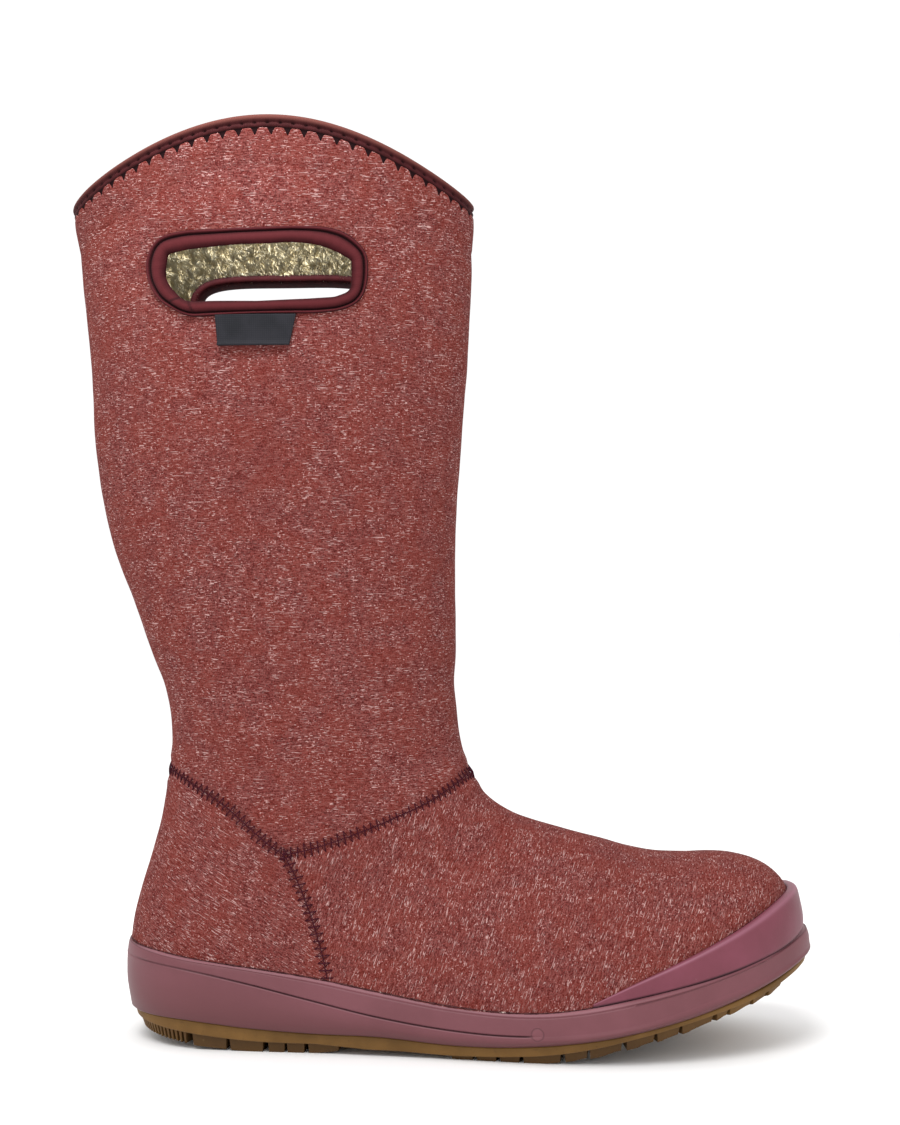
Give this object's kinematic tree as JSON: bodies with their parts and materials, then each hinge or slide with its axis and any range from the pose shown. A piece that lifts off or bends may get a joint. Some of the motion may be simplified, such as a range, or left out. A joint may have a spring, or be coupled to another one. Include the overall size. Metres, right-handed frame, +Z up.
{
  "type": "wellington boot",
  "caption": "Tall insulated pull-on boot for the right foot, with an arched bound collar, hand holes, a rubber toe bumper and a gum rubber tread.",
  "frame": {"origin": "on the ground under the middle of the bounding box", "axes": "+Z up along the shaft, +X towards the toe, -Y to the outer side of the right foot"},
  "size_m": [0.3068, 0.102, 0.3741],
  "materials": {
    "gum_rubber": "matt gum rubber with moulded lugs",
    "plum_rubber": "satin plum rubber",
    "bumper_rubber": "satin plum rubber, a shade lighter",
    "heather_fabric": "brick red heathered jersey with pale flecks",
    "fleece": "cream fleece pile",
    "collar_tape": "dark burgundy knit tape",
    "hole_tape": "burgundy rolled knit binding",
    "label_cloth": "charcoal woven tape, bare"
  },
  "bodies": {
    "root": {"outsole": "gum_rubber", "midsole": "plum_rubber", "toe_bumper": "bumper_rubber", "upper": "heather_fabric", "insole": "fleece", "collar_binding": "collar_tape", "handle_binding_lateral": "hole_tape", "handle_binding_medial": "hole_tape", "label_tab": "label_cloth"}
  },
  "joints": []
}
